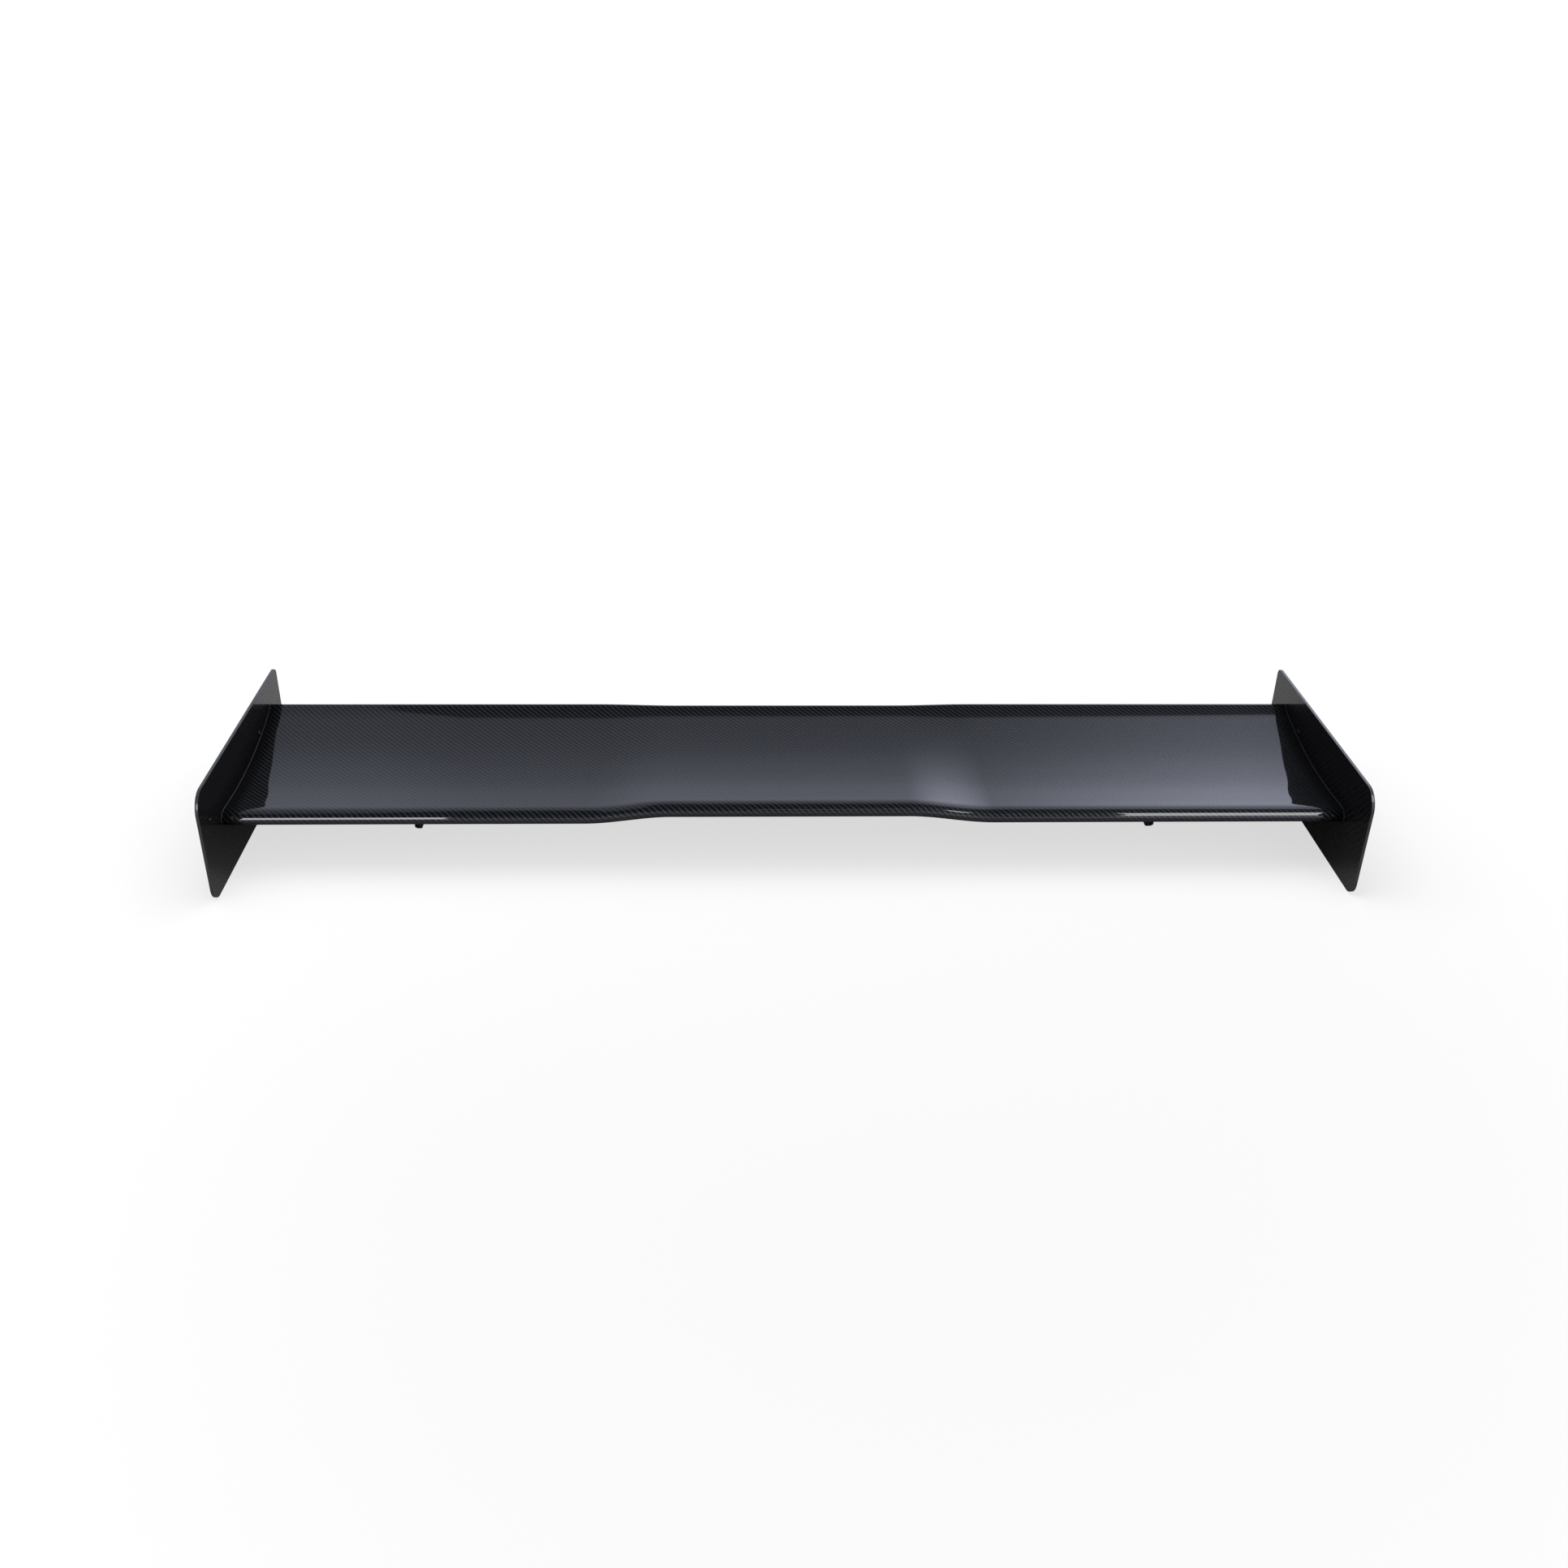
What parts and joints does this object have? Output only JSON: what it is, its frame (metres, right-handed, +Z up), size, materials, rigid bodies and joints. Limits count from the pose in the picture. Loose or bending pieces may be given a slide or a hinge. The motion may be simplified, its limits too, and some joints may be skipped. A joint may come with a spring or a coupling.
{
  "type": "racing rear wing",
  "caption": "Moulded carbon wing blade with a twisted middle, set between rectangular endplates and carried underneath on adjustable swivelling feet.",
  "frame": {"origin": "on the surface that the endplates stand on, under the middle of the wing's box", "axes": "+X along the span, to the right seen from ahead of the leading edge; +Y rearward along the chord, towards the trailing edge; +Z up"},
  "size_m": [1.5166, 0.391, 0.157],
  "materials": {
    "carbon_gloss": "clear-coated twill-weave carbon laminate",
    "carbon_bare": "bare carbon laminate",
    "aluminium_plain": "machined",
    "black_anodised": "black anodised, satin",
    "black_steel": "black oxide steel",
    "bronze": "plain bronze bush"
  },
  "bodies": {
    "wing": {"upper_skin": "carbon_gloss", "lower_skin": "carbon_gloss", "front_spar_tube": "carbon_bare", "rear_spar_tube": "carbon_bare", "rib_outer_left": "carbon_bare", "rib_inner_left": "carbon_bare", "end_rib_left": "carbon_bare", "mount_block_left": "aluminium_plain", "endplate_left": "carbon_gloss", "insert_left_front": "aluminium_plain", "plate_washer_left_front": "black_steel", "plate_screw_left_front": "black_steel", "insert_left_middle": "aluminium_plain", "plate_washer_left_middle": "black_steel", "plate_screw_left_middle": "black_steel", "insert_left_rear": "aluminium_plain", "plate_washer_left_rear": "black_steel", "plate_screw_left_rear": "black_steel", "trim_screw_left": "black_steel", "trim_nut_left": "black_steel", "mount_bracket_left": "black_anodised", "bracket_screw_left_front": "black_steel", "bracket_screw_left_rear": "black_steel", "pivot_bolt_left": "black_steel", "pivot_nut_left": "black_steel", "rib_outer_right": "carbon_bare", "rib_inner_right": "carbon_bare", "end_rib_right": "carbon_bare", "mount_block_right": "aluminium_plain", "endplate_right": "carbon_gloss", "insert_right_front": "aluminium_plain", "plate_washer_right_front": "black_steel", "plate_screw_right_front": "black_steel", "insert_right_middle": "aluminium_plain", "plate_washer_right_middle": "black_steel", "plate_screw_right_middle": "black_steel", "insert_right_rear": "aluminium_plain", "plate_washer_right_rear": "black_steel", "plate_screw_right_rear": "black_steel", "trim_screw_right": "black_steel", "trim_nut_right": "black_steel", "mount_bracket_right": "black_anodised", "bracket_screw_right_front": "black_steel", "bracket_screw_right_rear": "black_steel", "pivot_bolt_right": "black_steel", "pivot_nut_right": "black_steel"},
    "foot_left": {"mount_foot_left": "black_anodised", "pivot_bush_left": "bronze", "adjuster_bolt_left": "black_steel", "adjuster_nut_left": "black_steel"},
    "foot_right": {"mount_foot_right": "black_anodised", "pivot_bush_right": "bronze", "adjuster_bolt_right": "black_steel", "adjuster_nut_right": "black_steel"}
  },
  "joints": [
    {"name": "incidence_left", "type": "hinge", "parent": "wing", "child": "foot_left", "pos_m": [-0.515, -0.0265, 0.04], "axis": [1, 0, 0], "range_deg": [-6, 6]},
    {"name": "incidence_right", "type": "hinge", "parent": "wing", "child": "foot_right", "pos_m": [0.515, -0.0265, 0.04], "axis": [1, 0, 0], "range_deg": [-6, 6]}
  ]
}
